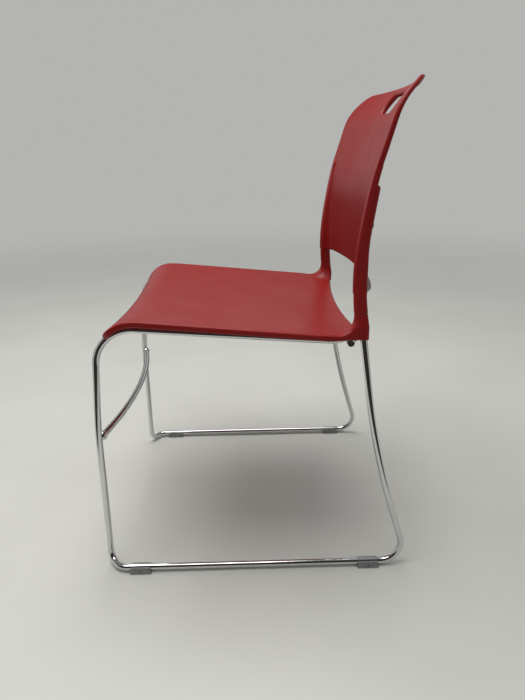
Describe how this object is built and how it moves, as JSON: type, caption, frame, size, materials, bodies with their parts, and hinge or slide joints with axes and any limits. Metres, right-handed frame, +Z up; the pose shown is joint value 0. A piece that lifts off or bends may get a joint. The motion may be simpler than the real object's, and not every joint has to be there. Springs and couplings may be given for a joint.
{
  "type": "stacking classroom chair",
  "caption": "Stacking chair with a bent rod sled frame, a dished one-piece plastic seat and a concave plastic back with a grab slot.",
  "frame": {"origin": "on the floor, below the middle of the chair's bounding box", "axes": "+Z up, the sitter faces -Y, +X to the sitter's left"},
  "size_m": [0.5064, 0.5468, 0.79],
  "materials": {
    "chromed_steel": "bright chrome plate over smooth drawn rod",
    "seat_plastic": "brick red moulded polypropylene, fine grained, satin",
    "back_plastic": "brick red moulded polypropylene, fine grained, satin",
    "glide_plastic": "milky grey nylon, smooth",
    "bumper_plastic": "smoke grey soft plastic, slightly see-through",
    "zinc_screw": "bright zinc plate",
    "insert_brass": "plain turned brass",
    "pin_steel": "plain hardened steel, dark"
  },
  "bodies": {
    "root": {"back_screws": "zinc_screw", "back_shell": "back_plastic", "brace_welds": "chromed_steel", "front_brace": "chromed_steel", "glide_front_left": "glide_plastic", "glide_front_right": "glide_plastic", "glide_pins": "pin_steel", "glide_rear_left": "glide_plastic", "glide_rear_right": "glide_plastic", "rear_cross_rod": "chromed_steel", "rear_welds": "chromed_steel", "seat_inserts": "insert_brass", "seat_screws": "zinc_screw", "seat_shell": "seat_plastic", "seat_tab_front_left": "chromed_steel", "seat_tab_front_right": "chromed_steel", "seat_tab_rear_left": "chromed_steel", "seat_tab_rear_right": "chromed_steel", "side_frame_left": "chromed_steel", "side_frame_right": "chromed_steel", "stack_bumper_left": "bumper_plastic", "stack_bumper_right": "bumper_plastic"}
  },
  "joints": []
}
